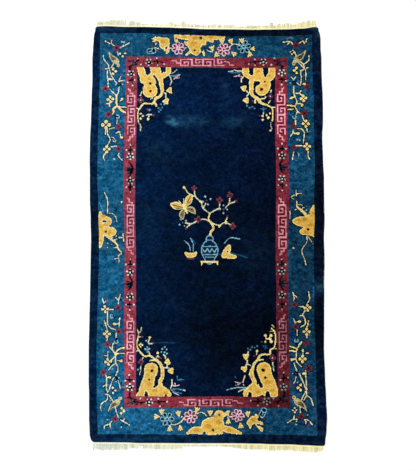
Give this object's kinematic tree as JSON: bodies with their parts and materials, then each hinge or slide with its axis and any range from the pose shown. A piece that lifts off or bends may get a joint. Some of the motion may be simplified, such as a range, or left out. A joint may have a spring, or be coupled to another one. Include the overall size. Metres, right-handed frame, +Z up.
{
  "type": "chinese art deco rug",
  "caption": "Flat hand-knotted wool rug with a selvage on both long sides and a kilim strip with short fringe at both ends.",
  "frame": {"origin": "under the middle of the whole rug, fringe included, on the floor", "axes": "+X across the rug, +Y along its length towards the end shown at the top of the picture, +Z up out of the pile"},
  "size_m": [1.2072, 2.2169, 0.011],
  "materials": {
    "pile": "cut wool pile, hand-knotted, matte with a soft sheen",
    "fringe": "twisted undyed cotton, matte"
  },
  "bodies": {
    "root": {"rug_body": "pile", "top_fringe": "fringe", "bottom_fringe": "fringe"}
  },
  "joints": []
}
